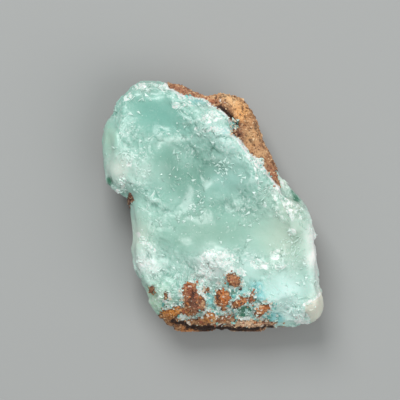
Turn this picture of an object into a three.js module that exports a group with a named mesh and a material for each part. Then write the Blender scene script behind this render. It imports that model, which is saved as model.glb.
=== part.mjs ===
// A rough hand specimen of chrysocolla, lying on its broken back with its green face up.
// Millimetres. +X is right and +Y is up as the face is looked at, +Z points up out of the face.
// The stone formed as one piece, so it is one closed solid: a thick vein of translucent
// chrysocolla that is still grown to its brown host rock, which shows on the upper right
// flank, along the lower edge and over the back.
import * as THREE from "three";
import { mergeVertices } from "three/addons/utils/BufferGeometryUtils.js";

// Driving dimensions
const thickness = 24; // from the surface it lies on to the highest rim
const faceLevel = 20.5; // height of the face before its relief
const girthLevel = 9; // height at which the stone is widest
const faceTilt = { alongX: 0.02, alongY: 0.03 }; // millimetres of rise for each millimetre
const rimRounding = 2.2; // broken edge between face and flank
const backRounding = 3.5; // broken edge between flank and back
const shoulderLevels = [13.5, 17.5]; // between these the flank turns in most of the way to the rim
const shoulderShare = 0.65;
const flankUndercut = 3.2; // how far the flank runs in below its widest level
const meshDetail = 21; // subdivision of the ball that the skin starts from

// The widest outline, clockwise from the pale knob at the top left: x, y, and how far in from it
// the rim of the face lies, which is wide where the brown host rock slopes out from under the vein.
const outline = [
  [-20.3, 37.0, 1.2], [-15.9, 36.8, 1.2], [-13.9, 36.0, 1.0], [-12.8, 34.7, 1.0],
  [-11.0, 34.8, 1.8], [-8.1, 34.1, 2.0], [-4.1, 32.4, 1.8], [-1.2, 31.9, 2.6],
  [1.0, 32.7, 4.4], [4.2, 33.0, 6.2], [6.6, 31.6, 6.6], [8.8, 30.4, 6.8],
  [10.1, 28.4, 6.6], [11.4, 26.0, 6.4], [13.0, 23.5, 6.2], [13.8, 21.1, 6.2],
  [15.0, 17.7, 5.4], [16.7, 14.2, 4.6], [18.2, 12.3, 3.8], [18.6, 9.8, 2.8],
  [19.9, 9.3, 2.6], [21.8, 6.4, 2.4], [25.0, 2.5, 2.0], [27.7, -1.9, 1.4],
  [29.4, -5.9, 1.0], [29.9, -11.8, 0.8], [30.7, -19.1, 0.8], [31.1, -23.0, 1.0],
  [32.1, -26.4, 1.2], [32.1, -29.9, 1.2], [31.0, -32.9, 1.4], [28.2, -33.8, 1.2],
  [23.3, -34.8, 1.0], [18.9, -35.3, 1.4], [13.5, -36.3, 2.4], [7.6, -36.7, 2.6],
  [-1.2, -36.7, 2.6], [-5.2, -37.0, 2.8], [-8.9, -36.9, 3.0], [-12.0, -33.9, 2.2],
  [-15.4, -30.9, 1.6], [-18.4, -27.9, 1.4], [-19.8, -23.5, 1.2], [-21.3, -21.3, 1.2],
  [-23.0, -18.6, 1.2], [-24.2, -14.7, 1.2], [-24.4, -12.2, 1.2], [-23.5, -9.3, 1.0],
  [-23.3, -5.9, 1.0], [-23.8, -1.9, 1.0], [-23.5, 1.0, 1.0], [-24.2, 3.4, 1.2],
  [-26.2, 4.3, 1.4], [-29.1, 6.4, 1.6], [-30.4, 9.3, 1.4], [-31.3, 13.3, 1.2],
  [-32.1, 17.2, 1.0], [-31.8, 21.1, 1.0], [-31.1, 24.0, 1.0], [-29.1, 26.7, 1.0],
  [-27.9, 29.9, 1.0], [-25.7, 32.9, 1.0], [-23.8, 35.3, 1.2],
];
const outlineSteps = 190; // straight stretches that stand for the outline's curve
const insetBlur = 4; // square millimetres: how gently the inset changes along the rim
const latticeStep = 0.5; // the outline is measured on a lattice this fine
const latticeReach = 44;
const latticeRows = (2 * latticeReach) / latticeStep;
const notchRounds = 10; // how much the bottoms of the outline's notches are rounded

// Broad relief of the face: a centre, the reach along and across a direction (degrees), the rise.
const faceRelief = [
  { what: "upper basin", at: [-18, 27], reach: [10, 6], turn: -30, rise: -2.2 },
  { what: "middle trough", at: [-4, 11], reach: [17, 6], turn: -48, rise: -3.4 },
  { what: "hollow under the trough", at: [8, 2], reach: [7, 4], turn: -10, rise: -1.6 },
  { what: "lip between basin and trough", at: [-11, 19.5], reach: [6, 1.4], turn: -12, rise: 1.3 },
  { what: "left lobe", at: [-26, 13], reach: [6, 9], turn: 10, rise: 1.5 },
  { what: "rim along the host rock", at: [9, 17], reach: [17, 4.5], turn: -52, rise: 2.2 },
  { what: "lower plateau", at: [-6, -8], reach: [14, 7], turn: -8, rise: 1.0 },
  { what: "sugary ledge", at: [2.5, -15.5], reach: [7, 4], turn: 12, rise: 1.6 },
  { what: "left shoulder", at: [-20, -7], reach: [4, 9], turn: 0, rise: 1.0 },
  { what: "white boss on the left", at: [-18.5, -18], reach: [4, 4], turn: 0, rise: 1.3 },
  { what: "right shoulder", at: [24, -7], reach: [5, 11], turn: 14, rise: 1.2 },
  { what: "pit above the corner", at: [24, -25], reach: [5, 4], turn: 20, rise: -1.2 },
  { what: "corner knob", at: [29.5, -29], reach: [3.6, 4.2], turn: 0, rise: 2.2 },
];
// Terraces end in a low step: an oval of the face that stands above or below what lies round it.
const terraces = [
  { what: "shelf above the plateau", at: [6.5, 4.2], reach: [9, 4.6], turn: -10, rise: 0.9 },
  { what: "sugary patch", at: [1.4, -16.6], reach: [6.2, 4.6], turn: 8, rise: 1.1 },
  { what: "chip on the left lobe", at: [-26.5, 9.5], reach: [4.6, 3.4], turn: -30, rise: -0.9 },
  { what: "chip at the top knob", at: [-17.5, 34.5], reach: [5.4, 2.6], turn: -6, rise: -1.2 },
  { what: "shelf by the host rock", at: [0.5, 21.5], reach: [6.4, 4.4], turn: -35, rise: 1.0 },
  { what: "flat at the right edge", at: [25.5, -13], reach: [4.4, 7], turn: 8, rise: -0.8 },
];
const terraceEdge = 0.16; // share of a terrace's reach that its step takes up
const lowerSlope = { startsAt: -20, steepness: 0.034 }; // the face falls away to the lower edge
const rimFall = { drop: 2.6, reach: 3.6 }; // and everywhere near its rim

// Lumps of host rock that stand out of the lower slope and of the upper right flank.
const rockLumps = [
  { what: "red lump", at: [-6.4, -24.3, 19.0], reach: 3.4, rise: 1.5 },
  { what: "long brown lump", at: [-4.6, -28.0, 17.5], reach: 4.2, rise: 1.7 },
  { what: "orange lump", at: [2.9, -26.2, 18.5], reach: 3.4, rise: 1.5 },
  { what: "small orange lump", at: [7.6, -28.0, 17.5], reach: 2.8, rise: 1.2 },
  { what: "high spot", at: [6.0, -20.8, 20.0], reach: 3.2, rise: 1.3 },
  { what: "lump by the blue edge", at: [14.2, -29.8, 16.5], reach: 3.4, rise: 1.4 },
  { what: "low orange lump", at: [-1.3, -32.2, 15.0], reach: 3.6, rise: 1.4 },
  { what: "ochre lump at the left", at: [-10.6, -31.0, 15.0], reach: 3.6, rise: 1.3 },
  { what: "low middle lump", at: [9.0, -32.4, 14.5], reach: 3.4, rise: 1.3 },
  { what: "orange boss on the flank", at: [4.2, 28.2, 18.5], reach: 5.0, rise: 1.9 },
  { what: "flank shoulder", at: [9.6, 21.4, 17.5], reach: 4.6, rise: 1.6 },
  { what: "middle of the flank", at: [8.2, 25.6, 16.5], reach: 2.6, rise: 0.8 },
  { what: "lower flank shoulder", at: [13.2, 14.4, 16.5], reach: 3.4, rise: 0.9 },
];
const lumpFlat = 0.35; // share of a lump's reach that is its top

// Broken surface: scooped scars of three sizes with ridges between them, and a low rolling.
const scars = [
  { size: 12.5, depth: 2.6, seed: 11 },
  { size: 6.2, depth: 1.5, seed: 23 },
  { size: 3.6, depth: 0.6, seed: 37 },
];
const scarMiddle = 0.42; // the height on a scar that stays on the plain form
const flankBreakage = 0.5; // the share of the scars' depth that the flanks and the back have
const rolling = { size: 9, height: 0.9, seed: 5 };
const hostGrain = { size: 2.6, height: 0.8, seed: 71 }; // knobbly host rock
const calmPatches = [
  // glassy stretches of the face where the scars are shallow
  { at: [-18, 26], reach: [10, 7], turn: -30 },
  { at: [-3, -6], reach: [15, 8], turn: -10 },
];
const calmShare = 0.75; // how much of the scars' depth a glassy stretch loses

// Flat breaks that take the roundness off the flanks and the back: a direction and a distance.
const flatBreaks = [
  { what: "left lobe", towards: [-0.93, 0.1, 0.35], at: 35.2 },
  { what: "under the left lobe", towards: [-0.66, 0.1, -0.74], at: 18.2 },
  { what: "neck", towards: [-0.75, -0.5, -0.43], at: 22.4 },
  { what: "under the top", towards: [-0.2, 0.72, -0.66], at: 23.6 },
  { what: "right side", towards: [0.93, 0.2, 0.3], at: 31.6 },
  { what: "under the right side", towards: [0.7, 0.12, -0.7], at: 15.4 },
  { what: "foot", towards: [0.05, -0.93, 0.36], at: 40.2 },
  { what: "under the foot", towards: [-0.1, -0.72, -0.69], at: 20.6 },
  { what: "lower left", towards: [-0.83, -0.52, 0.2], at: 34.2 },
  { what: "under the flank", towards: [0.52, 0.44, -0.73], at: 11.2 },
];
const breakRounding = 0.8;

// How the skin is fitted over the form
const startCentre = new THREE.Vector3(-4, 2, 10); // every point of the skin can be seen from here
const startBall = { along: 44, across: 27, up: 11, turn: -52 }; // a rough ellipsoid of the stone
const plainRounds = 40; // rounds that even out the triangles on the plain form
const brokenRounds = 14; // and on the broken stone
const relaxShare = 0.5;
const fitSteps = 2;
const settleSteps = 12;
const probe = 0.05; // spacing for slopes
const farOut = 80;
const restTolerance = 0.06; // points this near the resting plane lie on it

const mix = (a, b, share) => a + (b - a) * share;
const clamp = (value, low, high) => Math.min(high, Math.max(low, value));
const smoothStep = (from, to, value) => {
  const t = clamp((value - from) / (to - from), 0, 1);
  return t * t * (3 - 2 * t);
};

// The larger of two values, with the corner between them rounded.
function roundedMax(a, b, rounding) {
  const near = Math.max(rounding - Math.abs(a - b), 0) / rounding;
  return Math.max(a, b) + near * near * rounding * 0.25;
}

// A repeatable random number from 0 to 1 for each lattice cell.
function cellNumber(x, y, z, seed) {
  let bits = Math.imul(x, 374761393) ^ Math.imul(y, 668265263);
  bits ^= Math.imul(z, 1440670441) ^ Math.imul(seed, 1274126177);
  bits = Math.imul(bits ^ (bits >>> 13), 1103515245);
  bits = Math.imul(bits ^ (bits >>> 15), 2246822519);
  return ((bits ^ (bits >>> 16)) >>> 0) / 4294967296;
}

// Smooth random swelling from -1 to 1, about size millimetres across.
function swelling(x, y, z, { size, seed }) {
  const [u, v, w] = [x / size, y / size, z / size];
  const [i, j, k] = [Math.floor(u), Math.floor(v), Math.floor(w)];
  const [a, b, c] = [u - i, v - j, w - k].map((t) => t * t * (3 - 2 * t));
  const row = (dj, dk) =>
    mix(cellNumber(i, j + dj, k + dk, seed), cellNumber(i + 1, j + dj, k + dk, seed), a);
  return 2 * mix(mix(row(0, 0), row(1, 0), b), mix(row(0, 1), row(1, 1), b), c) - 1;
}

// Scooped scars: 0 at the bottom of a scar, rising to about 1 on the ridges between scars.
function scarRidge(x, y, z, { size, seed }) {
  const [u, v, w] = [x / size, y / size, z / size];
  const [i, j, k] = [Math.floor(u), Math.floor(v), Math.floor(w)];
  let nearest = 9;
  for (let a = i - 1; a <= i + 1; a++)
    for (let b = j - 1; b <= j + 1; b++)
      for (let c = k - 1; c <= k + 1; c++) {
        const du = a + cellNumber(a, b, c, seed) - u;
        const dv = b + cellNumber(a, b, c, seed + 1) - v;
        const dw = c + cellNumber(a, b, c, seed + 2) - w;
        const lift = 0.25 * cellNumber(a, b, c, seed + 3);
        nearest = Math.min(nearest, du * du + dv * dv + dw * dw + lift);
      }
  return nearest;
}

const curve = new THREE.CatmullRomCurve3(
  outline.map(([x, y, inset]) => new THREE.Vector3(x, y, inset)),
  true,
  "centripetal",
);
const edge = curve.getPoints(outlineSteps);

// Distance to the widest outline, negative inside, and the inset of the face's rim near there.
function measureOutline(x, y) {
  let nearest = Infinity;
  let [insets, weights] = [0, 0];
  let inside = false;
  for (let n = 0; n < outlineSteps; n++) {
    const a = edge[n];
    const b = edge[n + 1];
    const [ex, ey, px, py] = [b.x - a.x, b.y - a.y, x - a.x, y - a.y];
    const t = clamp((px * ex + py * ey) / (ex * ex + ey * ey), 0, 1);
    const gap = (px - t * ex) ** 2 + (py - t * ey) ** 2;
    nearest = Math.min(nearest, gap);
    const weight = 1 / (gap + insetBlur) ** 3;
    insets += weight * mix(a.z, b.z, t);
    weights += weight;
    if (a.y > y !== b.y > y && x < a.x + (ex * py) / ey) inside = !inside;
  }
  return [Math.sqrt(nearest) * (inside ? -1 : 1), insets / weights];
}

// Both are measured once, on a square lattice, and read between its points from then on.
const lattice = [];
for (let row = 0; row <= latticeRows; row++)
  for (let column = 0; column <= latticeRows; column++)
    lattice.push(
      measureOutline(column * latticeStep - latticeReach, row * latticeStep - latticeReach),
    );

// The distance is evened out a little, which rounds the bottoms of the outline's notches.
const rowLength = latticeRows + 1;
for (let round = 0; round < notchRounds; round++) {
  const before = lattice.map(([distance]) => distance);
  for (let n = rowLength; n < lattice.length - rowLength; n++) {
    const around = before[n - 1] + before[n + 1] + before[n - rowLength] + before[n + rowLength];
    lattice[n][0] = mix(before[n], around / 4, 0.8);
  }
}

function toOutline(x, y) {
  const u = clamp((x + latticeReach) / latticeStep, 0, latticeRows - 0.001);
  const v = clamp((y + latticeReach) / latticeStep, 0, latticeRows - 0.001);
  const [column, row] = [Math.floor(u), Math.floor(v)];
  const at = (i, j, k) => lattice[(row + j) * rowLength + column + i][k];
  const read = (k) =>
    mix(mix(at(0, 0, k), at(1, 0, k), u - column), mix(at(0, 1, k), at(1, 1, k), u - column), v - row);
  return { distance: read(0), inset: read(1) };
}

// 1 at the centre of a turned oval, falling smoothly to 0 beyond its reach.
function oval(x, y, { at, reach, turn }) {
  const angle = THREE.MathUtils.degToRad(turn);
  const [dx, dy] = [x - at[0], y - at[1]];
  const along = (dx * Math.cos(angle) + dy * Math.sin(angle)) / reach[0];
  const across = (dy * Math.cos(angle) - dx * Math.sin(angle)) / reach[1];
  return Math.exp(-(along * along + across * across));
}

function faceHeight(x, y, distance) {
  let height = faceLevel + faceTilt.alongX * x + faceTilt.alongY * y;
  for (const form of faceRelief) height += form.rise * oval(x, y, form);
  for (const form of terraces) {
    const radius = Math.sqrt(-Math.log(oval(x, y, form)));
    height += form.rise * smoothStep(1 + terraceEdge, 1 - terraceEdge, radius);
  }
  const below = Math.max(lowerSlope.startsAt - y, 0);
  height -= lowerSlope.steepness * below * below;
  return height - rimFall.drop * Math.exp(Math.min(distance, 0) / rimFall.reach);
}

// The back is a rough break that rises towards the stone's edge.
function backHeight(x, y, distance) {
  const bumps = swelling(x, y, 0, { size: 8, seed: 91 });
  return 0.9 + 1.7 * bumps + 6 * Math.exp(Math.min(distance, 0) / 5);
}

// How much of the surface at a point is host rock, from 0 to 1: the upper right flank, the
// lower slope, and all of the lower half of the stone.
function hostRock(x, y, z, inset) {
  const flank = smoothStep(2.2, 4.2, inset) * smoothStep(19.5, 17.5, z);
  const underside = smoothStep(7, 4, z);
  const foot = smoothStep(-27, -31, y) * smoothStep(22, 14, x);
  return Math.max(flank, underside, foot);
}

// The stone's plain form: negative inside, positive outside, in about millimetres.
function plainForm(x, y, z) {
  const { distance, inset } = toOutline(x, y);
  const shoulder = smoothStep(shoulderLevels[0], shoulderLevels[1], z);
  const rise = mix(smoothStep(girthLevel, faceLevel, z), shoulder, shoulderShare);
  const under = smoothStep(girthLevel, 0, z);
  const flank = distance + inset * rise + flankUndercut * under * under;
  const top = z - faceHeight(x, y, distance);
  const back = backHeight(x, y, distance) - z;
  let field = roundedMax(roundedMax(flank, top, rimRounding), back, backRounding);
  for (const { towards, at } of flatBreaks) {
    const beyond = x * towards[0] + y * towards[1] + z * towards[2] - at;
    field = roundedMax(field, beyond, breakRounding);
  }
  return Math.max(field, -z);
}

// The form as it broke: with its lumps of host rock, its scars and its grain.
function brokenStone(x, y, z) {
  let field = plainForm(x, y, z);
  for (const { at, reach, rise } of rockLumps) {
    const away = Math.hypot(x - at[0], y - at[1], z - at[2]) / reach;
    if (away < 1) field -= rise * smoothStep(1, lumpFlat, away);
  }
  let calm = 0;
  for (const patch of calmPatches) calm = Math.max(calm, oval(x, y, patch));
  const facing = smoothStep(12, 16, z); // 1 on the face, 0 on the flanks and the back
  const breakage = mix(flankBreakage, 1 - calmShare * calm, facing);
  for (const scar of scars)
    field -= scar.depth * breakage * (scarRidge(x, y, z, scar) - scarMiddle);
  field -= rolling.height * mix(flankBreakage, 1, facing) * swelling(x, y, z, rolling);
  const rock = hostRock(x, y, z, toOutline(x, y).inset);
  field -= rock * hostGrain.height * Math.abs(swelling(x, y, z, hostGrain));
  return Math.max(field, -z, z - thickness);
}

const slope = new THREE.Vector3();

// Moves a point along a field's slope until it lies on the surface where the field is zero.
function fit(point, field, steps) {
  for (let step = 0; step < steps; step++) {
    const { x, y, z } = point;
    const here = field(x, y, z);
    slope.set(
      field(x + probe, y, z) - field(x - probe, y, z),
      field(x, y + probe, z) - field(x, y - probe, z),
      field(x, y, z + probe) - field(x, y, z - probe),
    );
    slope.divideScalar(2 * probe);
    const steepness = Math.max(slope.lengthSq(), 0.25);
    point.addScaledVector(slope, -clamp(here / steepness, -1, 1));
  }
}

// Where a ray from the start centre leaves the plain form.
function castOut(direction) {
  let [near, far] = [0, farOut];
  for (let round = 0; round < 24; round++) {
    const middle = (near + far) / 2;
    const p = direction.clone().multiplyScalar(middle).add(startCentre);
    if (plainForm(p.x, p.y, p.z) < 0) near = middle;
    else far = middle;
  }
  return direction.clone().multiplyScalar(near).add(startCentre);
}

// A closed skin of even triangles over the stone, started from a subdivided icosahedron.
function stoneSkin() {
  const ball = new THREE.IcosahedronGeometry(1, meshDetail);
  ball.deleteAttribute("normal");
  ball.deleteAttribute("uv");
  const skin = mergeVertices(ball, 1e-5);
  const places = skin.getAttribute("position");
  const turn = THREE.MathUtils.degToRad(startBall.turn);
  const points = [];
  for (let n = 0; n < places.count; n++) {
    const direction = new THREE.Vector3().fromBufferAttribute(places, n);
    direction.multiply(new THREE.Vector3(startBall.along, startBall.across, startBall.up));
    direction.applyAxisAngle(new THREE.Vector3(0, 0, 1), turn).normalize();
    points.push(castOut(direction));
  }
  const neighbours = points.map(() => new Set());
  const corners = skin.index.array;
  for (let n = 0; n < corners.length; n++) {
    const next = n % 3 === 2 ? n - 2 : n + 1;
    neighbours[corners[n]].add(corners[next]);
    neighbours[corners[next]].add(corners[n]);
  }
  for (const [field, rounds] of [[plainForm, plainRounds], [brokenStone, brokenRounds]])
    for (let round = 0; round < rounds; round++) {
      const middles = neighbours.map((around) => {
        const middle = new THREE.Vector3();
        for (const other of around) middle.add(points[other]);
        return middle.divideScalar(around.size);
      });
      points.forEach((point, n) => {
        point.lerp(middles[n], relaxShare);
        fit(point, field, fitSteps);
      });
    }
  const box = new THREE.Box3();
  for (const point of points) {
    fit(point, brokenStone, settleSteps);
    if (point.z < restTolerance) point.z = 0;
    box.expandByPoint(point);
  }
  // The origin is the middle of the stone's box, on the surface that it lies on.
  const centre = box.getCenter(new THREE.Vector3());
  points.forEach(({ x, y, z }, n) => places.setXYZ(n, x - centre.x, y - centre.y, z));
  skin.computeVertexNormals();
  return skin;
}

function stone() {
  const stoneGreen = new THREE.MeshStandardMaterial({
    color: 0x9ac7bc,
    roughness: 0.45,
    metalness: 0,
    flatShading: true,
  });
  const mesh = new THREE.Mesh(stoneSkin(), stoneGreen);
  mesh.name = "chrysocolla_stone";
  return mesh;
}

const specimen = new THREE.Group();
specimen.add(stone());

export default specimen;
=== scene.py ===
# A rough chrysocolla lying on its broken back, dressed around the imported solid.
# Lengths are millimetres until a mesh is made. Places on the face are given as they stand in
# the picture: x to the right and y down, in pixels of 0.29 mm.
import math
from types import SimpleNamespace

import bmesh
import bpy
import numpy as np
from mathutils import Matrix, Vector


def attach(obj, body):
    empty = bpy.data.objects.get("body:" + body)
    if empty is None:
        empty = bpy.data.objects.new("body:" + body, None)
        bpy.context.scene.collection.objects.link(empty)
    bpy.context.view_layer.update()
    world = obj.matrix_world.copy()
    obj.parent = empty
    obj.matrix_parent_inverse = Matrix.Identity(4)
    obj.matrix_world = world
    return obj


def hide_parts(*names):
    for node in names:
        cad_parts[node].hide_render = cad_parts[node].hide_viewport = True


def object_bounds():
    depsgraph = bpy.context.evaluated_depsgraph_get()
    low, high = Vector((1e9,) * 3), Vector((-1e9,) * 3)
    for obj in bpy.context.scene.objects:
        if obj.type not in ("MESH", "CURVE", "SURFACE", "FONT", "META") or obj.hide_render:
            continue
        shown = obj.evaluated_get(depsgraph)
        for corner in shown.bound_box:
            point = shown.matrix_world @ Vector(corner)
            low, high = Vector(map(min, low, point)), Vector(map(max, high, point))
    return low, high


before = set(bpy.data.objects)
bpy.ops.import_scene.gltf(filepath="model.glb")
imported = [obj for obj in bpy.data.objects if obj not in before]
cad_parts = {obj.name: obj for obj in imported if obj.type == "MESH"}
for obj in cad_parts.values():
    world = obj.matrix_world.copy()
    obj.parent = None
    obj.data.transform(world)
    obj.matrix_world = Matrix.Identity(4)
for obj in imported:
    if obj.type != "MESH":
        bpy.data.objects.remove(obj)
cadBox = [list(corner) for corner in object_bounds()]

metres = 0.001
pixel = 0.29  # millimetres of the stone for each pixel of the picture
pictureOrigin = (212.94, 206.45)  # the pixel over the middle of the stone's box


def onStone(place):
    return ((place[0] - pictureOrigin[0]) * pixel, (pictureOrigin[1] - place[1]) * pixel)


# Camera, straight above the stone

cameraSetup = {
    "lens": 250.0,
    "sensor": 36.0,
    "clip": (0.05, 10.0),  # metres
    "pictureMiddle": (200.0, 200.0),  # pixels
    "pictureWidth": 400.0,
    "level": 11.0,  # height on the stone at which a pixel is 0.29 mm
}


def makeCamera(setup):
    data = bpy.data.cameras.new("overhead")
    data.lens = setup["lens"]
    data.sensor_width = setup["sensor"]
    data.clip_start, data.clip_end = setup["clip"]
    width = setup["pictureWidth"] * pixel
    away = width * setup["lens"] / setup["sensor"] + setup["level"]
    middle = onStone(setup["pictureMiddle"])
    camera = bpy.data.objects.new("overhead", data)
    camera.location = (middle[0] * metres, middle[1] * metres, away * metres)
    bpy.context.collection.objects.link(camera)
    bpy.context.scene.camera = camera


makeCamera(cameraSetup)
bpy.context.scene.view_settings.view_transform = "Standard"
print("camera made")


# Random numbers, swelling and broken faces, each over all points at once

cellFactors = (374761393, 668265263, 1440670441)  # they scatter a cell's place
seedFactor = 1274126177
mixSteps = ((13, 1103515245), (15, 2246822519))  # shift, then factor
lastShift = 16
wordSize = 2**32


def cellNumbers(i, j, k, seed):  # from 0 to 1, always the same for one cell and seed
    bits = np.uint32(seed * seedFactor % wordSize)
    for index, factor in zip((i, j, k), cellFactors):
        bits = bits ^ (index.astype(np.uint32) * np.uint32(factor))
    for shift, factor in mixSteps:
        bits = (bits ^ (bits >> np.uint32(shift))) * np.uint32(factor)
    return (bits ^ (bits >> np.uint32(lastShift))).astype(np.float64) / wordSize


def swelling(points, size, seed):  # smooth, from -1 to 1
    scaled = points / size
    low = np.floor(scaled).astype(np.int64)
    t = scaled - low
    t = t * t * (3 - 2 * t)
    total = np.zeros(len(points))
    for a in (0, 1):
        for b in (0, 1):
            for c in (0, 1):
                share = np.where(a, t[:, 0], 1 - t[:, 0])
                share = share * np.where(b, t[:, 1], 1 - t[:, 1])
                share = share * np.where(c, t[:, 2], 1 - t[:, 2])
                corner = cellNumbers(low[:, 0] + a, low[:, 1] + b, low[:, 2] + c, seed)
                total += share * corner
    return 2 * total - 1


def mixedSwelling(points, size, seed, steps=3):  # coarse and fine together
    total = np.zeros(len(points))
    weight = 1.0
    for step in range(steps):
        total += weight * swelling(points, size * 0.5**step, seed + step)
        weight *= 0.5
    return total / (2 - 2 * weight)


def cells(points, size, seed):
    # For each point: its distance squared to the nearest cell's middle, its offset from
    # that middle, and three random numbers of that cell.
    scaled = points / size
    low = np.floor(scaled).astype(np.int64)
    nearest = np.full(len(points), 9.0)
    offset = np.zeros((len(points), 3))
    numbers = np.zeros((len(points), 3))
    for a in (-1, 0, 1):
        for b in (-1, 0, 1):
            for c in (-1, 0, 1):
                i, j, k = low[:, 0] + a, low[:, 1] + b, low[:, 2] + c
                draws = [cellNumbers(i, j, k, seed + n) for n in range(6)]
                gap = np.stack([i + draws[0], j + draws[1], k + draws[2]], 1) - scaled
                square = (gap**2).sum(1)
                nearer = square < nearest
                nearest[nearer] = square[nearer]
                offset[nearer] = -gap[nearer]
                numbers[nearer] = np.stack(draws[3:], 1)[nearer]
    return nearest, offset, numbers


def facets(points, size, seed):  # flat broken faces at random tilts, about -1 to 1
    _, offset, numbers = cells(points, size, seed)
    lean = 2 * numbers - 1
    return 1.1 * (offset * lean).sum(1) + (lean[:, 0] + lean[:, 1]) * 0.3


def smoothStep(low, high, value):
    t = np.clip((value - low) / (high - low), 0, 1)
    return t * t * (3 - 2 * t)


# Marks on the face: turned ovals, polygons and lines, in pixels of the picture

def ovalRadius(pixels, mark):
    angle = math.radians(mark[4] if len(mark) > 4 else 0)
    right, down = pixels[:, 0] - mark[0], pixels[:, 1] - mark[1]
    along = right * math.cos(angle) - down * math.sin(angle)
    across = -right * math.sin(angle) - down * math.cos(angle)
    return np.hypot(along / mark[2], across / mark[3])


def ovalDepth(pixels, mark):  # pixels inside the oval's edge, negative outside it
    return (1 - ovalRadius(pixels, mark)) * min(mark[2], mark[3])


def lineGap(pixels, line):
    nearest = np.full(len(pixels), 1e6)
    for start, end in zip(line, line[1:]):
        run = np.subtract(end, start)
        t = np.clip((pixels - start) @ run / (run @ run), 0, 1)
        nearest = np.minimum(nearest, np.linalg.norm(pixels - start - t[:, None] * run, axis=1))
    return nearest


def nearestLine(pixels, lines):
    return np.minimum.reduce([lineGap(pixels, line) for line in lines])


def polygonDepth(pixels, corners):
    inside = np.zeros(len(pixels), bool)
    for (ax, ay), (bx, by) in zip(corners, corners[1:] + corners[:1]):
        crosses = (ay > pixels[:, 1]) != (by > pixels[:, 1])
        edge = ax + (bx - ax) * (pixels[:, 1] - ay) / (by - ay if by != ay else 1e-9)
        inside ^= crosses & (pixels[:, 0] < edge)
    gap = lineGap(pixels, corners + corners[:1])
    return np.where(inside, gap, -gap)


def blendTones(pixels, base, marks):
    tone = np.tile(np.array(base, float), (len(pixels), 1))
    for mark in marks:
        share = mark[6] * np.exp(-ovalRadius(pixels, mark) ** 2)
        tone += share[:, None] * (np.array(mark[5]) - tone)
    return tone


def linear(tone):  # screen colour, 0 to 255, to light
    value = np.asarray(tone, float) / 255
    return np.where(value <= 0.04045, value / 12.92, ((value + 0.055) / 1.055) ** 2.4)


# The stone's surface

stoneForm = {
    "fineRounds": 2,  # each splits every triangle in four
    "scoopDepths": ((6.0, 0.8, 131), (3.0, 0.3, 141)),  # size, depth and seed
    "chipDepths": ((5.2, 0.36, 101), (2.6, 0.24, 111), (1.35, 0.13, 121)),
    "rockDepths": ((3.2, 0.9, 151), (1.6, 0.55, 161), (0.9, 0.25, 171)),
    "pitDepth": 0.6,  # of the holes in the host rock
    "creviceDepth": 0.8,
    "seamDepth": 0.25,
    "calmShare": 0.95,  # of the wear that the smooth parts of the face go without
    "wander": 3.6,  # pixels that the edge of a patch strays
    "veinHeight": 6.5,  # at which the vein ends on the stone's sides
    "foot": (150, 278, 332),  # brown lower edge: from x to x, and down from y
    "ridgeRounds": 8,  # of smoothing, against which ridges and hollows are told
    "clearance": 0.02,  # from the solid's box
}

upperRim = [
    (166, 84), (169, 89), (175, 93), (182, 95.5), (190, 99), (199, 100), (207, 103), (215, 107.5),
    (222, 113.5), (228, 120.5), (232.5, 128),
]
lowerRim = [
    (230, 135.5), (236.5, 140), (242, 146.5), (246.5, 152.5), (253, 159.5), (259.5, 165),
    (263.5, 171.5), (269, 176.5), (272.5, 183.5), (278, 190),
]
rimLine = upperRim + lowerRim
flankPolygon = rimLine + [(279.5, 183), (277, 176), (275, 172), (290, 150), (290, 60), (172, 60)]
brightLines = [  # narrow edges of crust
    rimLine, [(246, 157), (252, 162), (255, 170), (256, 178), (259, 188)],
    [(303, 304), (308, 300.5), (315, 297), (320, 293)],
    [(279, 192), (283, 204), (290, 218)], [(297, 205), (291, 219)],
    [(309, 228), (314, 236), (316, 250), (318, 264), (321, 276)],
]
flankStreak = [(220.5, 101.5), (224, 105), (227.5, 110)]
chipHeaps = [(234.5, 124.5, 3.4, 6, -50), (260, 161.5, 3.6, 2.4, -40)]  # on the rim
crystalFans = [  # where feathers of crystals spread from, and how far in millimetres
    ((150, 280), 7.5), ((192, 292), 9.0), ((280, 180), 10.0), ((213, 126), 5.0), ((124, 150), 4.5),
    ((290, 262), 6.0), ((226, 152), 5.0), ((150, 214), 4.5), ((181, 163), 3.5), ((205, 194), 4.0),
    ((262, 272), 6.0), ((303, 235), 5.0), ((190, 100), 5.0), ((140, 92), 5.0), ((286, 300), 6.0),
]
creviceLines = [
    [(216, 104), (221.5, 108.5), (227.5, 113.5), (232.5, 119), (236.5, 125.5)],
    [(232, 136), (237.5, 136.5)],
]
seamLines = [  # half width, then the line
    (2.4, [(172, 320), (179, 321.5), (186, 323.5)]), (3.0, [(188, 326.5), (201, 327.5)]),
    (3.2, [(201, 328), (222, 328.5)]), (2.5, [(222, 328.5), (240, 328.5), (258, 328.5)]),
    (2.0, [(262, 327.5), (272, 327)]),
]

rockPatches = [
    (188.5, 289, 7, 7.5), (194.5, 302.5, 11, 11, -20), (207, 289, 3, 2.8), (222, 296.5, 8, 9),
    (224, 306, 3.4, 4), (233.5, 279, 8.5, 5.6, -50), (238.5, 301.5, 8.5, 4.8, 25),
    (251.5, 296, 1.6, 6), (262, 309, 8.4, 4.2, 38), (172.5, 312, 14, 5, 12),
    (209.5, 318.5, 7, 7), (248, 323.5, 28, 4.6), (184, 332, 12, 4.6, -18), (166, 294, 2.2, 3.2),
    (153, 288, 2.4, 4, -20), (212, 328, 17, 5), (131, 199.5, 2.6, 5.5), (172, 321, 9, 4, -20),
    (240, 331, 36, 4), (190, 309, 8, 7), (226, 318, 12, 4), (203, 322, 14, 4),
]
mixedZone = [
    (162, 300), (176, 286), (196, 281), (212, 287), (228, 270), (241, 275), (247, 288),
    (257, 286), (263, 299), (276, 303), (282, 318), (277, 328), (190, 327), (164, 314),
]
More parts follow.
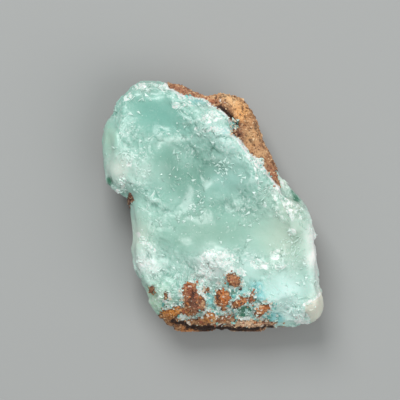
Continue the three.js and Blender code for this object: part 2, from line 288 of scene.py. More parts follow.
stripZone = [  # the same mixture in a strip under the upper rim
    (167, 82), (176, 86), (190, 91), (204, 96), (214, 104), (205, 101), (190, 98), (176, 93),
]
crustPatches = [
    (204, 264, 5, 13, -20), (220, 256, 17, 6, -6), (229, 265, 6, 9), (197, 279, 9, 6, 20),
    (163.5, 87, 5.5, 5), (178, 106, 7, 3.4, 8), (211, 119, 9, 6, 10),
    (229, 313, 6, 4), (316, 246, 2.2, 32, 4), (124, 184, 3.4, 7),
    (141, 84, 8, 4, 20), (258, 263, 8, 5), (275, 255, 5, 5), (235, 126, 3.6, 5.5, -30),
    (213, 131, 12, 2.6), (189, 317, 5, 3.4), (262, 161, 3, 4),
    (271, 163, 2.4, 2.4), (200, 290, 3.6, 3.4), (142, 262, 3, 5, 30), (222, 285, 9, 3),
    (143, 238.5, 11, 1.8, -43), (281.5, 181, 3, 6, 40),
    (185, 106, 5, 2.4, 10), (215, 117, 5, 4, -30), (182, 99, 6, 2, -25), (280, 266.5, 4.5, 2.4),
    (158, 84, 5, 2.2), (145, 88, 4, 2.4, 20), (130, 164, 2.6, 3.4), (117, 190, 4, 2.6),
    (287, 205, 1.6, 6, 15), (276, 207, 1.3, 5, 10), (299, 216, 2, 4, 30), (291, 232, 2, 1.8),
    (272, 191, 1.3, 4, 30), (264, 204, 1.2, 3, 10), (225, 284, 6, 2.4), (240, 271, 5, 3),
    (265, 166, 2.4, 5, -50), (128, 98, 5, 3, 45),
]
crustShapes = [
    [(204, 259), (213, 252), (226, 251), (232, 257), (231, 268), (226, 271), (222, 263),
     (214, 266), (211, 280), (205, 291), (197, 295), (190, 289), (189, 281), (197, 279),
     (202, 270)],
    [(294, 314), (302, 311), (309, 314), (310, 324), (300, 326), (294, 322)],
]
glassKnob = [
    (304, 303), (308, 300), (315, 297), (320, 292), (328, 296), (328, 322), (311, 323),
    (309, 317), (304, 311),
]
turquoisePatches = [
    (211, 299, 4.2, 6.5), (257, 290, 6, 10, 20), (273, 318, 10, 7, -15), (200, 101, 7, 3, -10),
    (226, 119, 6, 3, -40), (223, 131, 5, 2.4), (238, 290, 5, 3),
]
malachitePatches = [
    (244.5, 311, 7, 6.6), (238, 306, 3, 3), (296, 197.5, 3.2, 5), (109.5, 182, 3, 5),
    (234, 291.5, 4, 2), (293, 190, 1.6, 3), (201, 312, 2.4, 2),
]
calmPatches = [
    (152, 112, 28, 20, -25), (208, 232, 48, 20, 4), (223, 178, 24, 16, 5), (314, 302, 9, 14),
    (176, 176, 36, 22, -56), (266, 236, 24, 18, 0), (136, 225, 12, 30, 0), (250, 270, 22, 8, 0),
    (288, 285, 22, 18, 0), (108, 140, 12, 22, 0), (316, 306, 10, 12, 0), (196, 196, 20, 22, 0),
    (119, 169, 15, 11, 0), (302, 250, 13, 32, 4),
]
sparsePatches = [(212, 235, 42, 15, 4), (162, 113, 22, 14)]  # with few bright flecks

veinBase = (156, 200, 186)
veinTones = [  # ovals, each with its tone and its strength
    (158, 116, 34, 22, -25, (124, 184, 170), 0.95),
    (176, 176, 46, 19, -56, (120, 167, 151), 0.95),
    (200, 178, 18, 16, 0, (113, 158, 142), 0.85),
    (228, 180, 26, 14, 10, (154, 199, 188), 0.9),
    # darker band under the ledge: painted shadow of the step
    (232, 208, 26, 5, -8, (118, 162, 147), 0.9),
    (208, 233, 46, 19, 4, (141, 182, 165), 0.95),
    (162, 222, 12, 18, 0, (150, 194, 178), 0.6),
    (118, 168, 13, 15, 0, (220, 228, 218), 0.85),
    (108, 140, 8, 16, 0, (180, 220, 198), 0.85),
    (148, 86, 18, 8, 0, (152, 184, 172), 0.85),
    (285, 236, 30, 36, 0, (191, 213, 196), 0.9),
    (286, 289, 26, 15, 0, (212, 243, 236), 0.95),
    # The first mark here, the right rim: a white edge of crust, lightened further with painted
    # light where its steep side gets less light
    (314.5, 248, 9, 42, 4, (254, 255, 250), 0.98), (284, 183, 9, 11, -35, (236, 246, 232), 0.95),
    (318, 304, 9, 15, 0, (226, 228, 214), 0.97),
    (138, 236, 15, 22, 0, (212, 230, 214), 0.85),
    (142, 172, 12, 14, 0, (196, 224, 212), 0.8),
    (291, 207, 9, 9, 0, (174, 190, 168), 0.8),
    (272, 302, 10, 7, 0, (220, 242, 232), 0.8), (291, 312, 20, 12, -10, (222, 248, 242), 0.95),
    (147, 265, 14, 13, 0, (242, 250, 245), 0.95),
    (214, 262, 25, 14, 4, (206, 229, 220), 0.85),
    (211, 266, 14, 14, 20, (230, 241, 237), 0.85),
    (222, 140, 28, 10, -48, (208, 242, 234), 0.85),
    (205, 108, 14, 7, -20, (180, 216, 205), 0.7),
    # paler arc of the lip below the basin: painted light on a slope that faces the lamp
    (175, 139, 18, 4, 12, (196, 224, 213), 0.8),
    (186, 296, 22, 13, 0, (164, 214, 204), 0.7),
    (156, 300, 17, 15, 0, (204, 242, 208), 0.9),
    (250, 297, 24, 16, 0, (168, 228, 222), 0.75),
    (252, 266, 20, 12, 0, (202, 232, 224), 0.7),
    (270, 198, 14, 10, -40, (168, 205, 188), 0.6),
    # The marks below are darker over raised lumps that catch the key light: painted shade
    (186, 197, 5, 10, -25, (112, 158, 143), 0.6), (205, 217, 13, 6, 0, (122, 164, 148), 0.6),
    (179, 240, 8, 5, 0, (126, 168, 151), 0.5), (156, 130, 9, 6, 0, (108, 168, 154), 0.55),
    (201, 182, 7, 6, 0, (104, 150, 134), 0.5), (226, 205, 10, 7, 0, (118, 160, 146), 0.4),
]
glassTone = (220, 219, 202)
# painted shade of the steep low sides
sideShadeTone = (128, 182, 168)
turquoiseTone = (130, 208, 210)
malachiteTone = (60, 124, 98)
crustTone = (244, 251, 246)
# painted shade of the crevice under the rim, and the colour of the black seam at the lower edge
shadeAndSeamTone = (42, 20, 10)

rockBase = (160, 112, 78)
rockTones = [
    (186, 94, 20, 6, -20, (176, 120, 92), 0.95),
    # The next two marks: the limonite's orange on the flank's upper side, lightened with painted
    # light from above
    (230, 100, 18, 9, -30, (246, 202, 148), 0.95),
    (243, 113, 9, 10, 0, (244, 184, 118), 0.95),
    # The next two marks: dark brown along the crevice under the rim, painted shadow
    (222, 110, 12, 5, -45, (120, 66, 46), 0.95),
    (237, 130, 6, 10, 0, (122, 72, 54), 0.9),
    (209, 99, 8, 5, -20, (190, 112, 78), 0.9),
    (131, 200, 5, 7, 0, (96, 66, 60), 0.95),
    (252, 138, 13, 14, 0, (218, 172, 122), 0.95),
    (261, 157, 8, 8, 0, (212, 168, 124), 0.9),
    (272, 175, 8, 10, 0, (188, 126, 94), 0.95),
    (188, 289, 8, 8, 0, (170, 90, 58), 0.95),
    (195, 304, 10, 9, 0, (136, 86, 68), 0.95),
    (192, 298, 4, 5, 0, (112, 60, 46), 0.8),
    (222, 297, 8, 9, 0, (204, 112, 46), 0.97),
    (234, 279, 8, 8, 0, (198, 136, 94), 0.95),
    (239, 302, 8, 6, 0, (190, 118, 66), 0.95),
    (262, 308, 10, 7, 25, (196, 118, 66), 0.95),
    (172, 312, 14, 7, 0, (212, 140, 60), 0.97),
    (209, 318, 9, 8, 0, (210, 136, 62), 0.97),
    (248, 323, 30, 5, 0, (255, 222, 188), 0.97),
    (184, 332, 14, 6, 0, (214, 144, 84), 0.95),
]


def readStone():
    shape = bmesh.new()
    shape.from_mesh(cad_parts["chrysocolla_stone"].data)
    bmesh.ops.remove_doubles(shape, verts=shape.verts, dist=1e-6)
    bmesh.ops.triangulate(shape, faces=shape.faces)
    bmesh.ops.recalc_face_normals(shape, faces=shape.faces)
    points = np.array([vert.co[:] for vert in shape.verts]) / metres
    corners = np.array([[vert.index for vert in face.verts] for face in shape.faces])
    shape.free()
    return points, corners


def splitFiner(points, corners):  # each triangle in four, with the skin drawn smooth
    sides = np.sort(corners[:, [0, 1, 1, 2, 2, 0]].reshape(-1, 2), axis=1)
    edges, number = np.unique(sides, axis=0, return_inverse=True)
    number = number.reshape(-1, 3)
    facing = np.zeros((len(edges), 3))
    np.add.at(facing, number.ravel(), points[corners[:, [2, 0, 1]].ravel()])
    middles = points[edges].sum(1) * 0.375 + facing * 0.125
    around = np.zeros_like(points)
    count = np.zeros(len(points))
    for one, other in ((0, 1), (1, 0)):
        np.add.at(around, edges[:, one], points[edges[:, other]])
        np.add.at(count, edges[:, one], 1)
    kept = points * 0.7 + around / count[:, None] * 0.3
    m = number + len(points)
    a, b, c = corners.T
    split = np.concatenate([
        np.stack([a, m[:, 0], m[:, 2]], 1),
        np.stack([m[:, 0], b, m[:, 1]], 1),
        np.stack([m[:, 2], m[:, 1], c], 1),
        np.stack([m[:, 0], m[:, 1], m[:, 2]], 1),
    ])
    return np.concatenate([kept, middles]), split


def skinNormals(points, corners):
    a, b, c = (points[corners[:, n]] for n in range(3))
    faceNormals = np.cross(b - a, c - a)
    normals = np.zeros_like(points)
    for n in range(3):
        np.add.at(normals, corners[:, n], faceNormals)
    return normals / np.maximum(np.linalg.norm(normals, axis=1), 1e-12)[:, None]


def toPixels(points):
    return np.stack([
        points[:, 0] / pixel + pictureOrigin[0], pictureOrigin[1] - points[:, 1] / pixel
    ], 1)


def patchDepth(pixels, patches):
    depth = np.full(len(pixels), -1e6)
    for patch in patches:
        depth = np.maximum(depth, ovalDepth(pixels, patch))
    return depth


def glassMask(pixels):
    return smoothStep(-0.8, 0.8, polygonDepth(pixels, glassKnob))


def readSite(points, normals, form):  # what the masks are worked out from
    return SimpleNamespace(
        points=points, pixels=toPixels(points), height=points[:, 2], facing=normals[:, 2],
        stray=mixedSwelling(points, 3.2, 201) * form["wander"],
        fineStray=mixedSwelling(points, 1.3, 211) * form["wander"],
        ragged=mixedSwelling(points, 1.1, 251, 2) * 1.6,
        top=smoothStep(8.0, 12.0, points[:, 2]),
    )


def rockMask(site, form):
    # The flank, the lower patches, the back and the foot. Also how deep in a lower patch
    # each point lies.
    flank = polygonDepth(site.pixels, flankPolygon) + 0.3 * site.fineStray - 0.3
    lower = patchDepth(site.pixels, rockPatches) + 0.5 * site.fineStray + 0.6 * site.ragged
    rise = site.height + 3.4 * mixedSwelling(site.points, 7.0, 221)
    under = (form["veinHeight"] - rise) / pixel
    left, right, edge = form["foot"]
    foot = site.pixels[:, 1] - edge + 1.2 * (site.height - 6) + site.stray
    foot = np.where((site.pixels[:, 0] > left) & (site.pixels[:, 0] < right), foot, -1e3)
    rock = smoothStep(-1.4, 1.4, np.maximum.reduce([flank, lower, under, foot]))
    backGreen = smoothStep(0.16, 0.3, mixedSwelling(site.points, 9.0, 231)) * (1 - site.top)
    return rock * (1 - 0.9 * backGreen * smoothStep(9, 7, site.height)), lower


def crustMask(site):  # sugary quartz in ovals, outlines and along the bright lines
    ovals = patchDepth(site.pixels, crustPatches) + 1.1 * site.fineStray + site.ragged
    shapes = np.maximum.reduce([polygonDepth(site.pixels, shape) for shape in crustShapes])
    crust = np.maximum(smoothStep(-2, 2, ovals), smoothStep(-1, 1, shapes + 0.4 * site.fineStray))
    crust *= smoothStep(4, 7, site.height) * smoothStep(0.12, 0.42, site.facing)
    crust *= 1 - glassMask(site.pixels)
    gap = nearestLine(site.pixels, brightLines) + 0.25 * site.fineStray
    return np.maximum(crust, smoothStep(1.9, 0.7, gap) * site.top)


def creviceMask(site):  # the crevice under the rim, in painted shade, and the black seam at the lower edge
    broken = smoothStep(-0.45, 0.0, mixedSwelling(site.points, 2.2, 255))
    broken = np.maximum(broken, smoothStep(14, 15.5, site.height))
    gap = nearestLine(site.pixels, creviceLines) + 0.7 * site.fineStray
    crevice = smoothStep(2.9, 1.3, gap) * smoothStep(-0.05, 0.15, site.facing)
    crevice *= smoothStep(12, 15.5, site.height + 0.5 * site.stray) * broken
    seam = np.minimum.reduce([lineGap(site.pixels, line) / half for half, line in seamLines])
    seam = smoothStep(1.25, 0.75, seam + 0.12 * site.fineStray + 0.05 * site.ragged)
    seam *= smoothStep(7.2, 8.6, site.height + 0.9 * site.stray + 0.5 * site.ragged)
    return np.maximum(crevice, seam)


def streakMask(site):  # the white line of the rim, and a short one on the flank
    upper = lineGap(site.pixels, upperRim) + 0.2 * site.fineStray
    lower = lineGap(site.pixels, lowerRim) + 0.25 * site.fineStray + 0.2 * site.ragged
    rim = np.maximum(smoothStep(1.3, 0.5, upper), smoothStep(1.9, 0.8, lower)) * site.top
    flank = smoothStep(1.2, 0.5, lineGap(site.pixels, flankStreak))
    return np.maximum(rim, flank * smoothStep(0.3, 0.6, site.facing))


def malachiteMask(site):
    depth = patchDepth(site.pixels, malachitePatches) + 0.5 * site.fineStray
    spots = smoothStep(-1.6, 1.6, depth) * smoothStep(9, 13, site.height + 0.5 * site.stray)
    return spots * smoothStep(0.0, 0.3, site.facing + 0.05 * site.stray)


def markStone(points, normals, form):
    # Masks from 0 to 1 of what the surface is at each point, with wandering edges
    site = readSite(points, normals, form)
    pixels = site.pixels
    rock, lower = rockMask(site, form)
    crevice = creviceMask(site)
    rock = np.maximum(rock, crevice)
    vein = 1 - rock
    streak = streakMask(site)
    turquoise = patchDepth(pixels, turquoisePatches) + 0.8 * site.fineStray
    turquoise = smoothStep(-3, 3, turquoise) * site.top
    malachite = malachiteMask(site)
    mixed = np.maximum(polygonDepth(pixels, mixedZone), polygonDepth(pixels, stripZone) + 1)
    mixed = smoothStep(-2, 2, mixed + 0.5 * site.fineStray) * site.top
    halo = smoothStep(-4.5, -2.5, lower + 0.5 * site.ragged) * mixed  # crust round the brown
    crust = np.maximum(crustMask(site), halo * (1 - turquoise) * (1 - malachite))
    calm = [smoothStep(1.4, 0.6, ovalRadius(pixels, patch)) for patch in calmPatches]
    crevice *= 1 - 0.6 * streak
    return {
        "rock": rock, "crust": crust * vein, "turquoise": turquoise * vein,
        "malachite": malachite * vein, "crevice": crevice, "streak": streak,
        "calm": np.maximum.reduce(calm) * site.top,
        "mixed": mixed * smoothStep(-7, -2, lower) * (1 - crevice),
    }


def wearStone(points, corners, form):
    # Scoops and chips in the vein, lumps and pits in the rock, and the two dark clefts
    normals = skinNormals(points, corners)
    marks = markStone(points, normals, form)
    rock = marks["rock"]
    rough = (1 - rock) * (1 - form["calmShare"] * marks["calm"]) + 0.5 * marks["crust"]
    warped = points + np.stack([swelling(points, 2.4, 301 + n) for n in range(3)], 1) * 0.5
    lift = np.zeros(len(points))
    for size, depth, seed in form["scoopDepths"]:
        scoop = cells(warped, size, seed)[0] - 0.42
        lift += depth * (0.03 + 0.97 * rough) * (1 - rock) * scoop
    for size, depth, seed in form["chipDepths"]:
        lift += depth * rough * facets(warped, size, seed)
    for size, depth, seed in form["rockDepths"]:
        lift += depth * rock * (0.45 - cells(warped, size, seed)[0])
    lift -= form["pitDepth"] * smoothStep(0.35, 0.6, mixedSwelling(points, 1.8, 181)) * rock
    aboveSeam = smoothStep(300, 290, toPixels(points)[:, 1])
    cleft = form["seamDepth"] + (form["creviceDepth"] - form["seamDepth"]) * aboveSeam
    lift -= cleft * marks["crevice"]
    lift *= smoothStep(0.0, 0.5, points[:, 2])  # none where the stone rests
    points = points + normals * lift[:, None]
    lowest, highest = (np.array(corner) / metres for corner in cadBox)
    clearance = form["clearance"]
    return np.clip(points, lowest + clearance * (lowest < 0), highest - clearance), marks


def featherField(points, normals):
    # The way that feathers of crystals point, and how thickly they lie
    aim = np.zeros_like(points)
    share = np.zeros(len(points))
    for middle, reach in crystalFans:
        away = points - np.array([*onStone(middle), 0])
        away[:, 2] = 0
        length = np.linalg.norm(away, axis=1)
        away /= np.maximum(length, 1e-6)[:, None]
        rays = smoothStep(-0.1, 0.5, swelling(away + middle[0], 0.3, 261))
        here = rays * smoothStep(reach, 0.4 * reach, length) * smoothStep(0.4, 1.2, length)
        nearer = here > share
        aim[nearer] = away[nearer]
        share = np.maximum(share, here)
    aim -= normals * (aim * normals).sum(1)[:, None]
    aim /= np.maximum(np.linalg.norm(aim, axis=1), 1e-6)[:, None]
    return aim + 0.16 * normals, share


def fleckShare(points):  # bright chips stand in loose drifts, thin on the calm plateau
    drift = smoothStep(-0.2, 0.3, mixedSwelling(points, 5.0, 241))
    drift *= smoothStep(-0.4, 0.5, swelling(points, 1.7, 245))
    pixels = toPixels(points)
    thin = [np.exp(-ovalRadius(pixels, patch) ** 2) for patch in sparsePatches]
    return (0.03 + 0.97 * drift) * (1 - 0.92 * np.maximum.reduce(thin))


def strewShares(points, normals, marks, feathers):
    # How thickly each kind of chip and crumb lies
    pixels, rock, crust = toPixels(points), marks["rock"], marks["crust"]
    face = smoothStep(0.35, 0.7, normals[:, 2]) * smoothStep(11, 15, points[:, 2])
    clear = (1 - rock) * (1 - marks["crevice"]) * face
    grit = rock * smoothStep(0.8, 2.0, points[:, 2])
    rim = smoothStep(2.6, 0.6, lineGap(pixels, rimLine)) * face
    for heap in chipHeaps:
        rim = np.maximum(rim, 14 * smoothStep(1.2, 0.6, ovalRadius(pixels, heap)))
    pale = marks["mixed"] * (1 - 0.97 * rock) * (1 - marks["malachite"])
    return {
        "fleckShare": clear * fleckShare(points), "crustShare": crust * clear,
        "featherShare": feathers * clear,
        "gritShare": grit * (1 - marks["crevice"]) * (1 - marks["streak"]),
        "paleShare": np.maximum(pale, 0.25 * rim), "darkShare": marks["mixed"] * (0.1 + 0.9 * rock),
    }


def toneStone(points, normals):  # of the vein and of the rock, in places that wander
    wander = np.stack([mixedSwelling(points, 4.0, seed) for seed in (401, 411)], 1)
    pixels = toPixels(points) + 6 * wander
    # Steep low sides are darkened towards a painted shade
    side = smoothStep(13, 8, points[:, 2]) * smoothStep(0.65, 0.25, normals[:, 2])
    vein = blendTones(pixels, veinBase, veinTones)
    vein += side[:, None] * 0.5 * (np.array(sideShadeTone) - vein)
    vein += 0.9 * glassMask(toPixels(points))[:, None] * (np.array(glassTone) - vein)
    return {"veinTone": vein, "rockTone": blendTones(pixels, rockBase, rockTones)}


def plainMesh(name, points, corners):
    mesh = bpy.data.meshes.new(name)
    mesh.from_pydata((points * metres).tolist(), [], corners.tolist())
    mesh.update()
    return mesh


def setField(mesh, name, kind, part, values):
    field = mesh.attributes.new(name, kind, "POINT")
    field.data.foreach_set(part, values.astype("f").ravel())


def evenOut(values, corners, count, rounds):
    for _ in range(rounds):
        total = np.zeros(count)
        number = np.zeros(count)
        for one, other in ((0, 1), (1, 2), (2, 0), (1, 0), (2, 1), (0, 2)):
            np.add.at(total, corners[:, one], values[corners[:, other]])
            np.add.at(number, corners[:, one], 1)
        values = 0.5 * values + 0.5 * total / number
    return values


def ridgeMask(points, corners, normals, rounds):  # ridges 1, hollows 0
    stands = np.zeros(len(points))
    for axis in range(3):
        smooth = evenOut(points[:, axis], corners, len(points), rounds)
        stands += (points[:, axis] - smooth) * normals[:, axis]
    return np.clip(0.5 + 2 * stands, 0, 1)


def makeStone(form):
    points, corners = readStone()
    for _ in range(form["fineRounds"]):
        points, corners = splitFiner(points, corners)
    points, masks = wearStone(points, corners, form)
    normals = skinNormals(points, corners)
    aim, feathers = featherField(points, normals)
    masks["ridge"] = ridgeMask(points, corners, normals, form["ridgeRounds"])
    masks.update(strewShares(points, normals, masks, feathers))
    mesh = plainMesh("chrysocollaStone", points, corners)
    mesh.polygons.foreach_set("use_smooth", np.ones(len(corners), bool))
    for name, values in masks.items():
        setField(mesh, name, "FLOAT", "value", values)
    setField(mesh, "feather", "FLOAT_VECTOR", "vector", aim)
    for name, tones in toneStone(points, normals).items():
        colours = np.column_stack([linear(tones), np.ones(len(tones))])
        setField(mesh, name, "FLOAT_COLOR", "color", colours)
    stone = bpy.data.objects.new("chrysocollaStone", mesh)
    bpy.context.collection.objects.link(stone)
    print("stone:", len(corners), "triangles")
    return stone


# Shader node groups

def setInputs(tree, node, inputs):
    for key, value in inputs.items():
        if hasattr(value, "is_output"):
            tree.links.new(value, node.inputs[key])
        else:
            node.inputs[key].default_value = value


def addNode(tree, kind, inputs=None, **settings):
    made = tree.nodes.new(kind)
    for key, value in settings.items():
        setattr(made, key, value)
    setInputs(tree, made, inputs or {})
    return made


def rgba(tone):
    return (*linear(tone), 1.0)


def mixColour(tree, share, under, over, blend="MIX"):
    made = addNode(tree, "ShaderNodeMix", {0: share, 6: under, 7: over},
                   data_type="RGBA", blend_type=blend)
    return made.outputs[2]


def calculate(tree, operation, *values):
    made = addNode(tree, "ShaderNodeMath", dict(enumerate(values)), operation=operation)
    return made.outputs[0]


def tint(tree, colour, tone, share, *factors):  # towards a tone, by the product of the shares
    for factor in factors:
        share = calculate(tree, "MULTIPLY", share, factor)
    return mixColour(tree, share, colour, rgba(tone))


def mapRange(tree, value, low, high, toLow=0.0, toHigh=1.0):
    made = addNode(tree, "ShaderNodeMapRange",
                   {0: value, 1: low, 2: high, 3: toLow, 4: toHigh},
                   interpolation_type="SMOOTHSTEP")
    return made.outputs[0]


def vectorMath(tree, operation, inputs, output=0):
    made = addNode(tree, "ShaderNodeVectorMath", inputs, operation=operation)
    return made.outputs[output]


def noise(tree, place, size, detail, roughness):  # size in millimetres
    made = addNode(tree, "ShaderNodeTexNoise",
                   {"Vector": place, "Scale": 1000.0 / size, "Detail": detail,
                    "Roughness": roughness})
    return made.outputs["Fac"]


def newGroup(name, inputs, outputs):
    group = bpy.data.node_groups.new(name, "ShaderNodeTree")
    for label, kind, value in inputs:
        socket = group.interface.new_socket(label, in_out="INPUT", socket_type=kind)
        if value is not None:
            socket.default_value = value
    for label, kind in outputs:
        group.interface.new_socket(label, in_out="OUTPUT", socket_type=kind)
    return group, group.nodes.new("NodeGroupInput"), group.nodes.new("NodeGroupOutput")


def makeFleckGlintGroup():
    # Painted glints of small cleavage faces: a random few of many cells, with straight edges
    group, given, result = newGroup("brightFlecks", [
        ("Place", "NodeSocketVector", None),
        ("Size", "NodeSocketFloat", 1.0),
        ("Share", "NodeSocketFloat", 0.2),
    ], [("Mask", "NodeSocketFloat")])
    scale = calculate(group, "DIVIDE", 1000.0, given.outputs["Size"])
    cell = addNode(group, "ShaderNodeTexVoronoi",
                   {"Vector": given.outputs["Place"], "Scale": scale, "Randomness": 1.0},
                   distance="MANHATTAN")
    chosen = addNode(group, "ShaderNodeSeparateColor", {0: cell.outputs["Color"]})
    few = calculate(group, "LESS_THAN", chosen.outputs[0], given.outputs["Share"])
    reach = calculate(group, "MULTIPLY_ADD", chosen.outputs[1], 0.35, 0.18)
    near = mapRange(group, cell.outputs["Distance"], reach,
                    calculate(group, "MULTIPLY", reach, 0.75))
    setInputs(group, result, {"Mask": calculate(group, "MULTIPLY", few, near)})
    return group


def makeSprayGroup():
    # Fine fibres that lie a different way in each crystal domain
    group, given, result = newGroup("crystalSpray", [
        ("Place", "NodeSocketVector", None),
        ("Domain", "NodeSocketFloat", 3.0),
        ("Fibre", "NodeSocketFloat", 0.4),
    ], [("Mask", "NodeSocketFloat"), ("Domain", "NodeSocketFloat")])
    place = given.outputs["Place"]
    stray = addNode(group, "ShaderNodeTexNoise", {"Vector": place, "Scale": 700.0, "Detail": 1.0})
    bent = vectorMath(group, "MULTIPLY_ADD",
                      {0: stray.outputs["Color"], 1: (0.0012, 0.0012, 0.0012), 2: place})
    scale = calculate(group, "DIVIDE", 1000.0, given.outputs["Domain"])
    cell = addNode(group, "ShaderNodeTexVoronoi", {"Vector": bent, "Scale": scale})
    lean = vectorMath(group, "SUBTRACT", {0: cell.outputs["Color"], 1: (0.5, 0.5, 0.5)})
    lean = vectorMath(group, "NORMALIZE", {0: lean})
    along = vectorMath(group, "DOT_PRODUCT", {0: place, 1: lean}, "Value")
    squeezed = vectorMath(group, "SCALE", {0: lean, 3: calculate(group, "MULTIPLY", along, 0.86)})
    threads = addNode(group, "ShaderNodeTexNoise", {
        "Vector": vectorMath(group, "SUBTRACT", {0: place, 1: squeezed}), "Detail": 2.0,
        "Scale": calculate(group, "DIVIDE", 1000.0, given.outputs["Fibre"]), "Roughness": 0.6,
    })
    drawn = addNode(group, "ShaderNodeSeparateColor", {0: cell.outputs["Color"]})
    setInputs(group, result, {"Mask": threads.outputs["Fac"], "Domain": drawn.outputs[1]})
    return group


def makeCrumbGroup():
    # Dark specks and paler crumbs of the host rock
    group, given, result = newGroup("rockCrumb", [
        ("Place", "NodeSocketVector", None),
        ("Tone", "NodeSocketColor", (0.4, 0.2, 0.1, 1)),
        ("Dark", "NodeSocketColor", (0.03, 0.02, 0.015, 1)),
        ("Pale", "NodeSocketColor", (0.7, 0.5, 0.32, 1)),
    ], [("Color", "NodeSocketColor"), ("Height", "NodeSocketFloat")])
    place, colour = given.outputs["Place"], given.outputs["Tone"]
    broad = noise(group, place, 2.2, 4.0, 0.6)
    fine = noise(group, place, 0.55, 3.0, 0.6)
    for field, low, high, most, tone in (
        (broad, 0.50, 0.72, 0.6, "Pale"), (broad, 0.47, 0.30, 0.75, "Dark"),
        (fine, 0.44, 0.30, 0.7, "Dark"), (fine, 0.58, 0.72, 0.5, "Pale"),
    ):
        share = mapRange(group, field, low, high, 0, most)
        colour = mixColour(group, share, colour, given.outputs[tone])
    lumps = addNode(group, "ShaderNodeTexVoronoi",
                    {"Vector": place, "Scale": 1000.0 / 0.8, "Randomness": 1.0})
    height = calculate(group, "SUBTRACT", fine, lumps.outputs["Distance"])
    setInputs(group, result, {"Color": colour, "Height": height})
    return group


fleckGlintGroup = makeFleckGlintGroup()
sprayGroup = makeSprayGroup()
crumbGroup = makeCrumbGroup()


def newMaterial(name):
    material = bpy.data.materials.new(name)
    material.use_nodes = True
    tree = material.node_tree
    tree.nodes.clear()
    shader = tree.nodes.new("ShaderNodeBsdfPrincipled")
    output = tree.nodes.new("ShaderNodeOutputMaterial")
    tree.links.new(shader.outputs[0], output.inputs["Surface"])
    place = tree.nodes.new("ShaderNodeTexCoord").outputs["Object"]
    return material, tree, shader, place


def readMask(tree, name):
    return addNode(tree, "ShaderNodeAttribute", attribute_name=name).outputs["Fac"]


def readTone(tree, name):
    return addNode(tree, "ShaderNodeAttribute", attribute_name=name).outputs["Color"]


def rockCrumb(tree, place, finish):
    return addNode(tree, "ShaderNodeGroup", {
        "Place": place, "Tone": readTone(tree, "rockTone"),
        "Dark": rgba(finish["speckTone"]), "Pale": rgba(finish["crumbTone"]),
    }, node_tree=crumbGroup)


stoneFinish = {
    "gloss": 0.42,  # roughness of the vein
    "calmGloss": 0.34,
    "rockRoughness": 0.85,
    "lightShare": 0.5,
    "lightDepth": 2.2,  # millimetres that light spreads in the vein
    "coat": 0.3,
    "coatRoughness": 0.18,
    "hazeSize": 1.5,  # millimetres
    "domain": 2.6,  # size of a patch of fibres that lie one way
    "fibre": 0.42,
    "fleck": 0.6,
    "chip": 0.9,
    "veinPale": (208, 231, 222),
    "veinDeep": (104, 160, 146),
    "hazePale": (212, 234, 226),
    "hazeDeep": (108, 164, 150),
    # painted light on ridges and painted shade in hollows
    "ridgeLightTone": (226, 240, 234),
    "hollowShadeTone": (92, 150, 136),
    "fibreTone": (228, 242, 236),
    # painted glint
    "fleckGlintTone": (232, 244, 238),
    "brinkShadeTone": (84, 50, 36),  # painted shade along the rock's edge against the vein
    "speckTone": (66, 46, 36),
    "crumbTone": (222, 184, 138),
}


def colourVein(tree, place, finish, haze, spray):
    calm, crust, ridge = (readMask(tree, name) for name in ("calm", "crust", "ridge"))
    vein = readTone(tree, "veinTone")
    cloud = noise(tree, place, 7.0, 3.0, 0.5)
    busy = mapRange(tree, calm, 0, 0.9, 0.95, 0.2)
    for field, low, high, most, tone in (
        (cloud, 0.52, 0.72, 0.22, "veinPale"), (cloud, 0.48, 0.28, 0.28, "veinDeep"),
        (haze, 0.55, 0.74, 0.24, "hazePale"), (haze, 0.45, 0.28, 0.2, "hazeDeep"),
    ):
        vein = tint(tree, vein, finish[tone], mapRange(tree, field, low, high, 0, most), busy)
    vein = tint(tree, vein, turquoiseTone, readMask(tree, "turquoise"), 0.8)
    vein = tint(tree, vein, malachiteTone, readMask(tree, "malachite"))
    grains = noise(tree, place, 0.8, 3.0, 0.7)
    edged = mapRange(tree, calculate(tree, "MULTIPLY_ADD", grains, 1.0, crust), 0.8, 1.15)
    vein = tint(tree, vein, crustTone, edged, mapRange(tree, grains, 0.36, 0.6, 0.45, 1.0))
    # Ridges lightened with painted light and hollows darkened with painted shade, less on the calm
    # parts
    reliefShadeShare = calculate(tree, "MULTIPLY_ADD", calm, -0.85, 1.0)
    vein = tint(tree, vein, finish["ridgeLightTone"], mapRange(tree, ridge, 0.56, 0.9, 0, 0.3), reliefShadeShare)
    vein = tint(tree, vein, finish["hollowShadeTone"], mapRange(tree, ridge, 0.46, 0.1, 0, 0.4), reliefShadeShare)
    threads = spray.outputs["Mask"]
    keen = calculate(tree, "MULTIPLY", mapRange(tree, spray.outputs["Domain"], 0.45, 1.0, 0.1, 1.0),
                     mapRange(tree, calm, 0, 1, 0.8, 0.2))
    vein = tint(tree, vein, finish["fibreTone"], mapRange(tree, threads, 0.52, 0.68), keen)
    vein = tint(tree, vein, finish["veinDeep"], mapRange(tree, threads, 0.46, 0.3), keen, 0.5)
    # Painted glints of cleavage faces, more of them in the crust
    share = mapRange(tree, crust, 0.0, 1.0, 0.06, 0.3)
    flecks = addNode(tree, "ShaderNodeGroup",
                     {"Place": place, "Size": finish["fleck"], "Share": share},
                     node_tree=fleckGlintGroup)
    return tint(tree, vein, finish["fleckGlintTone"], flecks.outputs["Mask"], 0.5)


